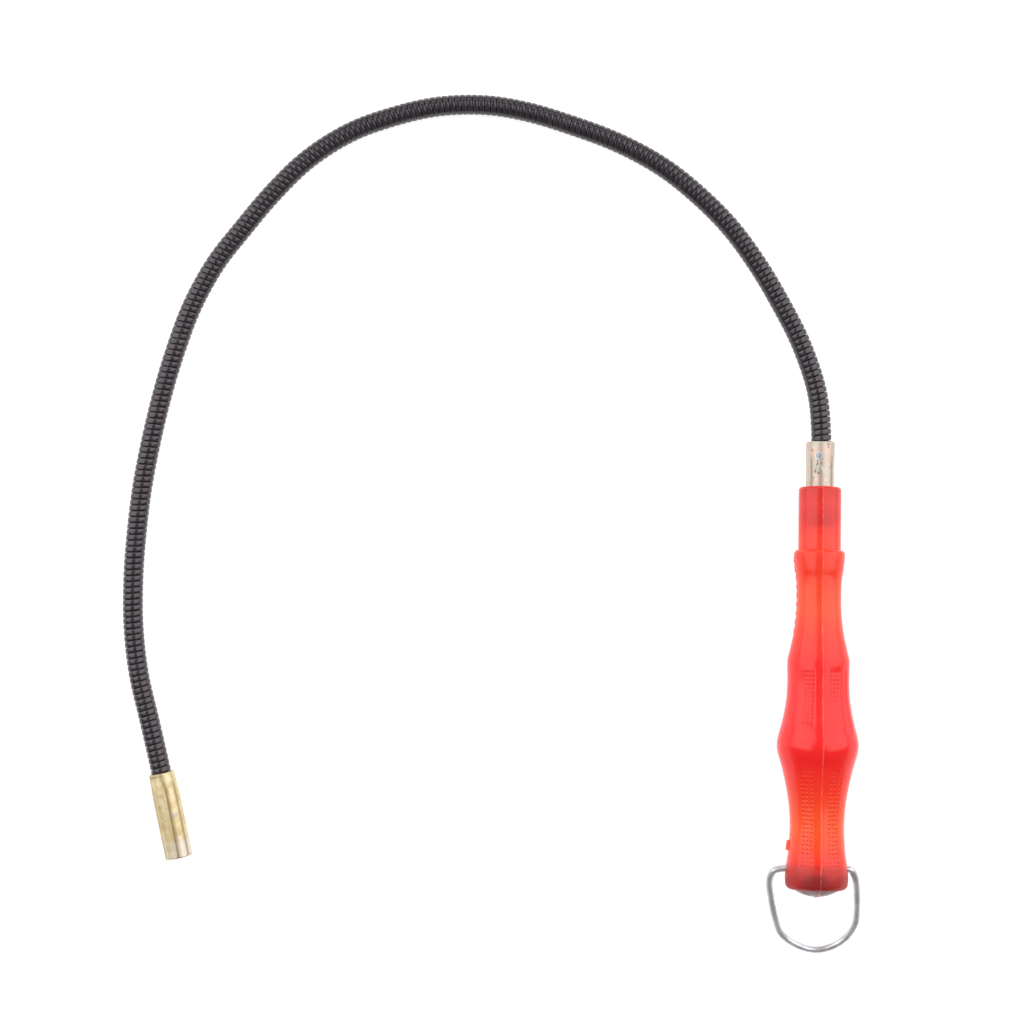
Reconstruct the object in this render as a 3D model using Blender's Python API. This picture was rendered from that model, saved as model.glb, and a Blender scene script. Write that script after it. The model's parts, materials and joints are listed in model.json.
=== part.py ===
"""Flexible magnetic pick-up tool: a red moulded handle with a folding hanging ring, a bend-and-stay
gooseneck shaft, and a magnet crimped into a ferrule at the tip.

World frame, metres, +Z up. The tool lies on the plane z = 0, on the bulge of its grip and on its
shaft, with the collar end of the handle leaning down to the plane. The shaft leaves the handle
along +Y and sweeps round towards -X. The origin is the bottom centre of the box round the handle,
its ring and its ferrule.

Everything on the handle is measured along the handle's own axis, local +Y of the empty tool_axis,
whose origin is the centre of the grip's bulge. Everything on the tip is measured along local +Y of
the empty tip_axis, from the mouth of the tip ferrule outwards.
"""

import math

import bmesh
import bpy
from mathutils import Matrix, Vector

# ---------------------------------------------------------------- driving dimensions, in metres
GAP = 0.0003                    # clearance between neighbouring pieces
ROUND_SIDES = 36                # facets round a turned piece

BULGE_RADIUS = 0.0122
BULGE_CENTRE = (0.0002, -0.01345, BULGE_RADIUS)
HANDLE_PITCH = math.radians(3.5)        # the collar end leans down by this much

# Grip outline: (distance along the axis, radius), butt to shoulder, joined by a smooth curve.
GRIP_OUTLINE = [
    (-0.0408, 0.00933), (-0.0393, 0.00942), (-0.0357, 0.00910), (-0.0315, 0.00850),
    (-0.0250, 0.00813), (-0.0185, 0.00842), (-0.0125, 0.00935), (-0.0070, 0.01060),
    (-0.0025, 0.01190), (0.0000, BULGE_RADIUS), (0.0025, 0.01190), (0.0075, 0.01060),
    (0.0130, 0.00962), (0.0180, 0.00928), (0.0240, 0.00933), (0.0258, 0.00925),
    (0.0290, 0.00850), (0.0345, 0.00735), (0.0400, 0.00675), (0.0460, 0.00665),
    (0.0500, 0.00685), (0.0526, 0.00728), (0.0566, 0.00768),
]
SPAN_STEPS = 2                  # rings per span of the grip outline
BUTT_END = -0.0429
BUTT_EDGE_RADIUS = 0.0018
SHOULDER_END = 0.0586
SHOULDER_EDGE_RADIUS = 0.0014
COLLAR_RADIUS = 0.0064
COLLAR_END = 0.0776
COLLAR_EDGE_RADIUS = 0.0010

CAP_RADIUS = 0.0072             # domed steel cap let into the butt
CAP_INNER_FACE = -0.0389
CAP_RIM = -0.0427
CAP_DOME_HEIGHT = 0.0024
CAP_HOLE_RADIUS = 0.0011
CAP_PIN_RADIUS = 0.0008         # moulded pin that holds the cap
CAP_PIN_END = -0.0453

PIVOT = -0.03675                # hinge of the hanging ring, along the handle's axis
RING_WIRE_RADIUS = 0.0010
RING_HOLE_RADIUS = RING_WIRE_RADIUS + GAP
RING_TIP_X = 0.0030             # how near to the axis the bent-in wire ends reach
RING_DROOP = math.radians(26.6)         # below the horizontal, until its far side meets the plane
# Ring outline in its own plane: (across, away from the pivot), from one hole round to the other.
RING_OUTLINE = [
    (-0.0098, 0.0000), (-0.0128, 0.0012), (-0.0138, 0.0052), (-0.0128, 0.0115),
    (-0.0111, 0.0186), (-0.0091, 0.0238), (-0.0050, 0.0276), (0.0008, 0.0298),
    (0.0060, 0.0289), (0.0104, 0.0256), (0.0130, 0.0206), (0.0133, 0.0155),
    (0.0129, 0.0095), (0.0122, 0.0045), (0.0109, 0.0010), (0.0098, 0.0000),
]
RING_STEPS = 2                  # curve points per span of the ring outline

FERRULE_LENGTH = 0.0260         # both ferrules are the same crimped tube
FERRULE_BORE_RADIUS = 0.00335
HANDLE_FERRULE_MOUTH = 0.0912
# (distance back from the mouth, radius)
HANDLE_FERRULE_OUTLINE = [(0.0, 0.00410), (0.0006, 0.00435), (0.0048, 0.00435), (0.0066, 0.00405)]
# (distance on from the mouth, radius)
TIP_FERRULE_OUTLINE = [(0.0, 0.00372), (0.0030, 0.00382), (0.0088, 0.00410), (0.0180, 0.00410)]
TIP_FERRULE_END_RADIUS = 0.00400

TIP_MOUTH = (-0.1977, -0.0261, 0.0041)
TIP_END = (-0.1918, -0.05175, 0.00415)
MAGNET_RADIUS = 0.00305
MAGNET_LENGTH = 0.0102
MAGNET_PROUD = 0.0002           # the magnet stands this far out of its ferrule

SHAFT_RADIUS = 0.00305
WINDING_BORE_RADIUS = 0.0024
INNER_SPRING_RADIUS = WINDING_BORE_RADIUS - GAP
SHAFT_SIDES = 12
SHAFT_POINT_SPACING = 0.0076

# Centre line of the shaft, from inside the handle ferrule to inside the tip ferrule.
SHAFT_ROUTE = [
    (0.0002, 0.0526, 0.0082), (0.0002, 0.0670, 0.0073), (0.0004, 0.0800, 0.0065),
    (-0.0011, 0.0932, 0.0058), (-0.0058, 0.1069, 0.0051), (-0.0119, 0.1188, 0.0045),
    (-0.0195, 0.1313, 0.0040), (-0.0283, 0.1429, 0.0036), (-0.0388, 0.1530, 0.0033),
    (-0.0495, 0.1610, 0.0031), (-0.0625, 0.1677, 0.0031), (-0.0762, 0.1726, 0.0031),
    (-0.0903, 0.1766, 0.0031), (-0.1035, 0.1784, 0.0031), (-0.1180, 0.1776, 0.0031),
    (-0.1322, 0.1740, 0.0031), (-0.1446, 0.1690, 0.0031), (-0.1567, 0.1609, 0.0031),
    (-0.1670, 0.1506, 0.0031), (-0.1762, 0.1393, 0.0031), (-0.1842, 0.1286, 0.0031),
    (-0.1910, 0.1157, 0.0031), (-0.1959, 0.1019, 0.0031), (-0.1995, 0.0891, 0.0031),
    (-0.2027, 0.0748, 0.0031), (-0.2052, 0.0604, 0.0031), (-0.2067, 0.0459, 0.0031),
    (-0.2074, 0.0326, 0.0031), (-0.2071, 0.0180, 0.0031), (-0.2052, 0.0036, 0.0032),
    (-0.2016, -0.0106, 0.0036), (-0.1977, -0.0261, 0.0041), (-0.1942, -0.0414, 0.00413),
]

# ---------------------------------------------------------------- colours: rgb, roughness, metallic
RED_PLASTIC = ((0.83, 0.07, 0.045), 0.28, 0.0)
CAP_STEEL = ((0.42, 0.40, 0.37), 0.35, 1.0)
RING_STEEL = ((0.52, 0.52, 0.53), 0.30, 1.0)
PALE_ZINC = ((0.72, 0.66, 0.56), 0.32, 1.0)
YELLOW_ZINC = ((0.74, 0.60, 0.30), 0.30, 1.0)
MAGNET_GREY = ((0.30, 0.30, 0.31), 0.40, 1.0)
BLACK_OXIDE = ((0.035, 0.034, 0.037), 0.38, 0.6)
SPRING_STEEL = ((0.10, 0.10, 0.105), 0.35, 1.0)


def clear_scene():
    for item in list(bpy.data.objects):
        bpy.data.objects.remove(item, do_unlink=True)


def make_material(name, finish):
    colour, roughness, metallic = finish
    material = bpy.data.materials.new(name)
    material.use_nodes = True
    shader = material.node_tree.nodes["Principled BSDF"]
    shader.inputs["Base Color"].default_value = (*colour, 1.0)
    shader.inputs["Roughness"].default_value = roughness
    shader.inputs["Metallic"].default_value = metallic
    return material


def make_empty(name, matrix, parent=None):
    empty = bpy.data.objects.new(name, None)
    bpy.context.collection.objects.link(empty)
    empty.parent = parent
    empty.matrix_local = matrix
    return empty


def add_piece(name, data, finish, parent=None):
    piece = bpy.data.objects.new(name, data)
    bpy.context.collection.objects.link(piece)
    piece.parent = parent
    data.materials.append(make_material(name, finish))
    return piece


def smooth_points(points, steps):
    """Points along a Catmull-Rom curve through the given points, steps to each span."""
    knots = [Vector(point) for point in points]
    knots = [2 * knots[0] - knots[1], *knots, 2 * knots[-1] - knots[-2]]
    curve = []
    for i in range(1, len(knots) - 2):
        before, start, end, after = knots[i - 1:i + 3]
        for step in range(steps):
            t = step / steps
            curve.append(0.5 * (2 * start + (end - before) * t
                                + (2 * before - 5 * start + 4 * end - after) * t ** 2
                                + (3 * start - before - 3 * end + after) * t ** 3))
    curve.append(knots[-2])
    return curve


def evenly_spaced(points, spacing):
    """The same line with its points the same distance apart, close to spacing."""
    lengths = [0.0]
    for a, b in zip(points, points[1:]):
        lengths.append(lengths[-1] + (b - a).length)
    count = round(lengths[-1] / spacing)
    line = []
    span = 0
    for i in range(count + 1):
        target = lengths[-1] * i / count
        while span < len(points) - 2 and lengths[span + 1] < target:
            span += 1
        part = (target - lengths[span]) / (lengths[span + 1] - lengths[span])
        line.append(points[span].lerp(points[span + 1], part))
    return line


def turned(name, outline, finish, parent):
    """A solid of revolution about local +Y from a closed outline of (along, radius) points."""
    mesh = bpy.data.meshes.new(name)
    build = bmesh.new()
    rings = []
    for along, radius in outline:
        if radius == 0.0:
            rings.append([build.verts.new((0.0, along, 0.0))])
            continue
        angles = [2 * math.pi * i / ROUND_SIDES for i in range(ROUND_SIDES)]
        rings.append([build.verts.new((radius * math.cos(a), along, radius * math.sin(a)))
                      for a in angles])
    pairs = list(zip(rings, rings[1:]))
    if outline[0][1] > 0.0:
        pairs.append((rings[-1], rings[0]))
    for first, second in pairs:
        for i in range(ROUND_SIDES):
            j = (i + 1) % ROUND_SIDES
            corners = [first[i % len(first)], first[j % len(first)],
                       second[j % len(second)], second[i % len(second)]]
            build.faces.new(dict.fromkeys(corners))
    bmesh.ops.recalc_face_normals(build, faces=build.faces)
    build.to_mesh(mesh)
    build.free()
    mesh.shade_smooth()
    mesh.set_sharp_from_angle(angle=math.radians(30))
    return add_piece(name, mesh, finish, parent)


def edge_arc(along, radius, edge, direction, steps=4):
    """A rounded outer edge that ends a cylinder: from its side (last of the outline) to its end face."""
    points = []
    for i in range(steps + 1):
        angle = math.pi / 2 * i / steps
        points.append((along - direction * edge * (1 - math.sin(angle)),
                       radius - edge * (1 - math.cos(angle))))
    return points


def make_handle_grip(axis):
    bore_end = HANDLE_FERRULE_MOUTH - FERRULE_LENGTH - GAP
    bore_radius = HANDLE_FERRULE_OUTLINE[-1][1] + GAP
    pocket_floor = CAP_INNER_FACE + GAP
    pocket_radius = CAP_RADIUS + GAP
    butt_edge = edge_arc(BUTT_END, GRIP_OUTLINE[0][1], BUTT_EDGE_RADIUS, -1)
    shoulder_edge = edge_arc(SHOULDER_END, GRIP_OUTLINE[-1][1], SHOULDER_EDGE_RADIUS, 1)
    collar_edge = edge_arc(COLLAR_END, COLLAR_RADIUS, COLLAR_EDGE_RADIUS, 1)
    grip = [tuple(point) for point in smooth_points(GRIP_OUTLINE, SPAN_STEPS)]
    outline = [
        (CAP_PIN_END, 0.0), (CAP_PIN_END, CAP_PIN_RADIUS),
        (pocket_floor, CAP_PIN_RADIUS), (pocket_floor, pocket_radius), (BUTT_END, pocket_radius),
        *reversed(butt_edge[1:]), *grip, *shoulder_edge[1:],
        (SHOULDER_END, COLLAR_RADIUS), *collar_edge,
        (COLLAR_END, bore_radius), (bore_end, bore_radius), (bore_end, 0.0),
    ]
    grip = turned("handle_grip", outline, RED_PLASTIC, axis)

    drill_mesh = bpy.data.meshes.new("ring_hole_drill")
    build = bmesh.new()
    bmesh.ops.create_cone(build, cap_ends=True, segments=20, radius1=RING_HOLE_RADIUS,
                          radius2=RING_HOLE_RADIUS, depth=4 * BULGE_RADIUS,
                          matrix=Matrix.Rotation(math.pi / 2, 4, "Y"))
    build.to_mesh(drill_mesh)
    build.free()
    drill = bpy.data.objects.new("ring_hole_drill", drill_mesh)
    bpy.context.collection.objects.link(drill)
    drill.parent = axis
    drill.location = (0.0, PIVOT, 0.0)
    drill.hide_render = True
    drill.display_type = "WIRE"
    cut = grip.modifiers.new("ring_hole", "BOOLEAN")
    cut.operation = "DIFFERENCE"
    cut.object = drill


def make_butt_cap(axis):
    sphere_radius = (CAP_RADIUS ** 2 + CAP_DOME_HEIGHT ** 2) / (2 * CAP_DOME_HEIGHT)
    sphere_centre = CAP_RIM - CAP_DOME_HEIGHT + sphere_radius
    outline = [(CAP_INNER_FACE, CAP_HOLE_RADIUS), (CAP_INNER_FACE, CAP_RADIUS)]
    steps = 6
    for i in range(steps + 1):
        radius = CAP_RADIUS + (CAP_HOLE_RADIUS - CAP_RADIUS) * i / steps
        outline.append((sphere_centre - math.sqrt(sphere_radius ** 2 - radius ** 2), radius))
    turned("butt_cap", outline, CAP_STEEL, axis)


def make_bail_ring(axis):
    pivot = make_empty("bail_pivot", Matrix.Translation((0.0, PIVOT, 0.0))
                       @ Matrix.Rotation(RING_DROOP + HANDLE_PITCH, 4, "X"), axis)
    loop = smooth_points([(x, -away, 0.0) for x, away in RING_OUTLINE], RING_STEPS)
    points = [(-RING_TIP_X, 0.0, 0.0), *loop, (RING_TIP_X, 0.0, 0.0)]
    wire = bpy.data.curves.new("bail_ring", "CURVE")
    wire.dimensions = "3D"
    wire.bevel_depth = RING_WIRE_RADIUS
    wire.bevel_resolution = 3
    wire.use_fill_caps = True
    line = wire.splines.new("POLY")
    line.points.add(len(points) - 1)
    for place, point in zip(line.points, points):
        place.co = (*point, 1.0)
    add_piece("bail_ring", wire, RING_STEEL, pivot)


def make_handle_ferrule(axis):
    mouth = HANDLE_FERRULE_MOUTH
    outline = [(mouth - back, radius) for back, radius in HANDLE_FERRULE_OUTLINE]
    inner_end = mouth - FERRULE_LENGTH
    outline.append((inner_end, outline[-1][1]))
    outline += [(inner_end, FERRULE_BORE_RADIUS), (mouth, FERRULE_BORE_RADIUS)]
    turned("handle_ferrule", outline, PALE_ZINC, axis)


def make_tip(axis):
    outline = [*TIP_FERRULE_OUTLINE, (FERRULE_LENGTH, TIP_FERRULE_END_RADIUS),
               (FERRULE_LENGTH, FERRULE_BORE_RADIUS), (0.0, FERRULE_BORE_RADIUS)]
    turned("tip_ferrule", outline, YELLOW_ZINC, axis)
    face = FERRULE_LENGTH + MAGNET_PROUD
    back = face - MAGNET_LENGTH
    magnet = [(back, 0.0), (back, MAGNET_RADIUS), (face, MAGNET_RADIUS), (face, 0.0)]
    turned("tip_magnet", magnet, MAGNET_GREY, axis)


def ring_frames(line):
    """A direction across the line at each point, turned as little as possible along it."""
    across = Vector((0.0, 0.0, 1.0))
    frames = []
    for i in range(len(line)):
        tangent = (line[min(i + 1, len(line) - 1)] - line[max(i - 1, 0)]).normalized()
        across = (across - tangent * across.dot(tangent)).normalized()
        frames.append((across, tangent.cross(across)))
    return frames


def make_shaft():
    line = evenly_spaced(smooth_points(SHAFT_ROUTE, 8), SHAFT_POINT_SPACING)
    frames = ring_frames(line)
    mesh = bpy.data.meshes.new("shaft_outer_winding")
    build = bmesh.new()
    tubes = []
    for radius in (SHAFT_RADIUS, WINDING_BORE_RADIUS):
        rings = []
        for centre, (up, side) in zip(line, frames):
            angles = [2 * math.pi * i / SHAFT_SIDES for i in range(SHAFT_SIDES)]
            rings.append([build.verts.new(centre + radius * (math.cos(a) * up + math.sin(a) * side))
                          for a in angles])
        tubes.append(rings)
    outer, bore = tubes
    closed_way = [*outer, *reversed(bore), outer[0]]
    for first, second in zip(closed_way, closed_way[1:]):
        for i in range(SHAFT_SIDES):
            j = (i + 1) % SHAFT_SIDES
            build.faces.new((first[i], first[j], second[j], second[i]))
    bmesh.ops.recalc_face_normals(build, faces=build.faces)
    build.to_mesh(mesh)
    build.free()
    mesh.shade_smooth()
    mesh.set_sharp_from_angle(angle=math.radians(50))
    add_piece("shaft_outer_winding", mesh, BLACK_OXIDE)

    spring = bpy.data.curves.new("shaft_inner_spring", "CURVE")
    spring.dimensions = "3D"
    spring.bevel_depth = INNER_SPRING_RADIUS
    spring.bevel_resolution = 2
    spring.use_fill_caps = True
    track = spring.splines.new("POLY")
    track.points.add(len(line) - 1)
    for place, point in zip(track.points, line):
        place.co = (*point, 1.0)
    add_piece("shaft_inner_spring", spring, SPRING_STEEL)


def main():
    clear_scene()
    tool_axis = make_empty("tool_axis", Matrix.Translation(BULGE_CENTRE)
                           @ Matrix.Rotation(-HANDLE_PITCH, 4, "X"))
    make_handle_grip(tool_axis)
    make_butt_cap(tool_axis)
    make_bail_ring(tool_axis)
    make_handle_ferrule(tool_axis)

    outwards = (Vector(TIP_END) - Vector(TIP_MOUTH)).to_track_quat("Y", "Z")
    tip_axis = make_empty("tip_axis", Matrix.Translation(TIP_MOUTH) @ outwards.to_matrix().to_4x4())
    make_tip(tip_axis)
    make_shaft()


main()
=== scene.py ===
"""The looks of the flexible magnetic pick-up tool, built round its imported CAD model.

Metres, +Z up, in the CAD model's own frame. The tool lies on the floor at z = 0. Handle pieces are
built along the handle's own axis, with +Y towards the shaft and the origin at the bulge of the
grip. Tip pieces are built along the tip's own axis, with +Y outwards and the origin at the
ferrule's mouth.
"""
import json
import math

import bmesh
import bpy
import numpy as np
from mathutils import Matrix, Vector


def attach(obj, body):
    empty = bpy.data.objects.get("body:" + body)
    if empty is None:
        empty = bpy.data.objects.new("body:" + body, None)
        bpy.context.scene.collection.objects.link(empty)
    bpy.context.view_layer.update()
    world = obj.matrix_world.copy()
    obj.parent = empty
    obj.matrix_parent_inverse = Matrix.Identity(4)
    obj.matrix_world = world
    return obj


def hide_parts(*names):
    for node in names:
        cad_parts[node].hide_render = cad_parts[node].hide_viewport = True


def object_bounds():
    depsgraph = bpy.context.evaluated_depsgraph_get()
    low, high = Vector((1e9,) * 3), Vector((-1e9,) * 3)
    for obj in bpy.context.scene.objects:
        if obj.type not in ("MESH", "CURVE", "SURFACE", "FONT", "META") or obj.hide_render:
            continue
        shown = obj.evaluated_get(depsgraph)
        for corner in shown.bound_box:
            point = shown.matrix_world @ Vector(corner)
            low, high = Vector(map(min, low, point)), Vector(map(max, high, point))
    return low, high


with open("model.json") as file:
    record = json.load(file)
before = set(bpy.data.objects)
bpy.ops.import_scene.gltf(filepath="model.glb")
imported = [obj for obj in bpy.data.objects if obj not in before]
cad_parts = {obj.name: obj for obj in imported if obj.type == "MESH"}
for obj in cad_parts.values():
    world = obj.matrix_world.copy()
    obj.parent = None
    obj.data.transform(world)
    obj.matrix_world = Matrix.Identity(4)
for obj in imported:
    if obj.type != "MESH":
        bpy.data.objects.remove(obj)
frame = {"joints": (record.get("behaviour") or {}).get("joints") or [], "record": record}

cad_low, cad_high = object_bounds()
MM = 0.001

# ---------------------------------------------------------------- sizes that the CAD model also has
HANDLE_PITCH = math.radians(3.5)
PIVOT = -36.75 * MM
GRIP_OUTLINE = [(along * MM, radius * MM) for along, radius in (
    (-40.8, 9.33), (-39.3, 9.42), (-35.7, 9.10), (-31.5, 8.50), (-25.0, 8.13), (-18.5, 8.42),
    (-12.5, 9.35), (-7.0, 10.60), (-2.5, 11.90), (0.0, 12.20), (2.5, 11.90), (7.5, 10.60),
    (13.0, 9.62), (18.0, 9.28), (24.0, 9.33), (25.8, 9.25), (29.0, 8.50), (34.5, 7.35),
    (40.0, 6.75), (46.0, 6.65), (50.0, 6.85), (52.6, 7.28), (56.6, 7.68))]
BUTT_END = -42.9 * MM
BUTT_EDGE_RADIUS = 1.8 * MM
SHOULDER_END = 58.6 * MM
SHOULDER_EDGE_RADIUS = 1.4 * MM
COLLAR_RADIUS = 6.4 * MM
COLLAR_END = 77.6 * MM
COLLAR_EDGE_RADIUS = 1.0 * MM
CAP_RADIUS = 7.2 * MM
CAP_INNER_FACE = -38.9 * MM
CAP_RIM = -42.7 * MM
CAP_DOME_HEIGHT = 2.4 * MM
CAP_HOLE_RADIUS = 1.1 * MM
CAP_PIN_RADIUS = 0.8 * MM
CAP_PIN_END = -45.3 * MM
RING_WIRE_RADIUS = 1.0 * MM
RING_HOLE_RADIUS = 1.3 * MM
RING_DROOP = math.radians(26.6)
RING_TIP_X = 3.0 * MM
RING_OUTLINE = [(x * MM, away * MM) for x, away in (
    (-9.8, 0.0), (-12.8, 1.2), (-13.8, 5.2), (-12.8, 11.5), (-11.1, 18.6), (-9.1, 23.8),
    (-5.0, 27.6), (0.8, 29.8), (6.0, 28.9), (10.4, 25.6), (13.0, 20.6), (13.3, 15.5),
    (12.9, 9.5), (12.2, 4.5), (10.9, 1.0), (9.8, 0.0))]
FERRULE_LENGTH = 26.0 * MM
HANDLE_FERRULE_MOUTH = 91.2 * MM
MAGNET_RADIUS = 3.05 * MM
MAGNET_LENGTH = 10.2 * MM
MAGNET_PROUD = 0.2 * MM
SHAFT_RADIUS = 3.05 * MM
SHAFT_ROUTE = [
    (0.0002, 0.0526, 0.0082), (0.0002, 0.0670, 0.0073), (0.0004, 0.0800, 0.0065),
    (-0.0011, 0.0932, 0.0058), (-0.0058, 0.1069, 0.0051), (-0.0119, 0.1188, 0.0045),
    (-0.0195, 0.1313, 0.0040), (-0.0283, 0.1429, 0.0036), (-0.0388, 0.1530, 0.0033),
    (-0.0495, 0.1610, 0.0031), (-0.0625, 0.1677, 0.0031), (-0.0762, 0.1726, 0.0031),
    (-0.0903, 0.1766, 0.0031), (-0.1035, 0.1784, 0.0031), (-0.1180, 0.1776, 0.0031),
    (-0.1322, 0.1740, 0.0031), (-0.1446, 0.1690, 0.0031), (-0.1567, 0.1609, 0.0031),
    (-0.1670, 0.1506, 0.0031), (-0.1762, 0.1393, 0.0031), (-0.1842, 0.1286, 0.0031),
    (-0.1910, 0.1157, 0.0031), (-0.1959, 0.1019, 0.0031), (-0.1995, 0.0891, 0.0031),
    (-0.2027, 0.0748, 0.0031), (-0.2052, 0.0604, 0.0031), (-0.2067, 0.0459, 0.0031),
    (-0.2074, 0.0326, 0.0031), (-0.2071, 0.0180, 0.0031), (-0.2052, 0.0036, 0.0032),
    (-0.2016, -0.0106, 0.0036), (-0.1977, -0.0261, 0.0041), (-0.1942, -0.0414, 0.00413),
]

# ---------------------------------------------------------------- places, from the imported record
pivot_place = Vector(frame["joints"][0]["pos_m"])
handle_turn = Matrix.Rotation(-HANDLE_PITCH, 4, "X")
handle_matrix = Matrix.Translation(pivot_place) @ handle_turn @ Matrix.Translation((0, -PIVOT, 0))
ring_matrix = Matrix.Translation(pivot_place) @ Matrix.Rotation(RING_DROOP, 4, "X")
magnet_mount = frame["record"]["mounts"][0]
tip_direction = Vector(magnet_mount["axis"])
tip_mouth = Vector(magnet_mount["pos_m"]) - tip_direction * (FERRULE_LENGTH + MAGNET_PROUD)
tip_matrix = (Matrix.Translation(tip_mouth)
              @ tip_direction.to_track_quat("Y", "Z").to_matrix().to_4x4())


# ---------------------------------------------------------------- curves and meshes
CENTRE_RADIUS = 0.02 * MM           # so small that it closes the end of a turned piece


def smooth_points(points, steps):
    """Points along a Catmull-Rom curve through the given points, steps to each span."""
    knots = [Vector(point) for point in points]
    knots = [2 * knots[0] - knots[1], *knots, 2 * knots[-1] - knots[-2]]
    curve = []
    for i in range(1, len(knots) - 2):
        before, start, end, after = knots[i - 1:i + 3]
        for step in range(steps):
            t = step / steps
            curve.append(0.5 * (2 * start + (end - before) * t
                                + (2 * before - 5 * start + 4 * end - after) * t ** 2
                                + (3 * start - before - 3 * end + after) * t ** 3))
    curve.append(knots[-2])
    return curve


def smooth_step(value, start, end):
    """0 before start and 1 after end, with an eased rise between them."""
    t = np.clip((value - start) / (end - start), 0.0, 1.0)
    return t * t * (3 - 2 * t)


def grid_faces(rows, columns, closed_rows, closed_columns):
    """Quads of a grid of rows x columns points, wrapping round where it is closed."""
    faces = []
    for i in range(rows if closed_rows else rows - 1):
        for j in range(columns if closed_columns else columns - 1):
            i2, j2 = (i + 1) % rows, (j + 1) % columns
            faces.append((i * columns + j, i * columns + j2, i2 * columns + j2, i2 * columns + j))
    return faces


def mesh_piece(name, points, faces, matrix, sharp_angle=40.0):
    """A closed mesh object with its faces turned outwards and round surfaces shaded smooth."""
    mesh = bpy.data.meshes.new(name)
    mesh.from_pydata([tuple(point) for point in points], [], faces)
    mesh.transform(matrix)
    build = bmesh.new()
    build.from_mesh(mesh)
    bmesh.ops.recalc_face_normals(build, faces=build.faces)
    build.to_mesh(mesh)
    build.free()
    mesh.shade_smooth()
    mesh.set_sharp_from_angle(angle=math.radians(sharp_angle))
    piece = bpy.data.objects.new(name, mesh)
    bpy.context.scene.collection.objects.link(piece)
    return piece


def turned_points(outline, sides, radius_at=None):
    """Points round local +Y from (along, radius) rows. radius_at may change the radii of a row."""
    angles = np.linspace(0, 2 * np.pi, sides, endpoint=False)
    rows = []
    for along, radius in outline:
        radii = np.full(sides, radius) if radius_at is None else radius_at(along, angles, radius)
        rows.append(np.stack([radii * np.sin(angles), np.full(sides, along),
                              radii * np.cos(angles)], axis=1))
    return np.concatenate(rows)


def turned_piece(name, outline, sides, matrix, radius_at=None):
    """A solid of revolution from an outline that closes on itself, with a hole along its axis."""
    points = turned_points(outline, sides, radius_at)
    faces = grid_faces(len(outline), sides, True, True)
    return mesh_piece(name, points, faces, matrix)


SHADE_LAYER = "shade"               # how dark each point of a mesh is, 0 to 1


def add_shade(piece, values):
    """Stores how dark each point of the mesh is, in the order in which its points were made."""
    layer = piece.data.attributes.new(SHADE_LAYER, "FLOAT", "POINT")
    layer.data.foreach_set("value", np.ravel(values).astype(np.float32))


def edge_arc(along, radius, edge, direction, steps):
    """A rounded outer edge, from the side of a cylinder to its end face."""
    angles = [math.pi / 2 * i / steps for i in range(steps + 1)]
    return [(along - direction * edge * (1 - math.sin(a)), radius - edge * (1 - math.cos(a)))
            for a in angles]


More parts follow.
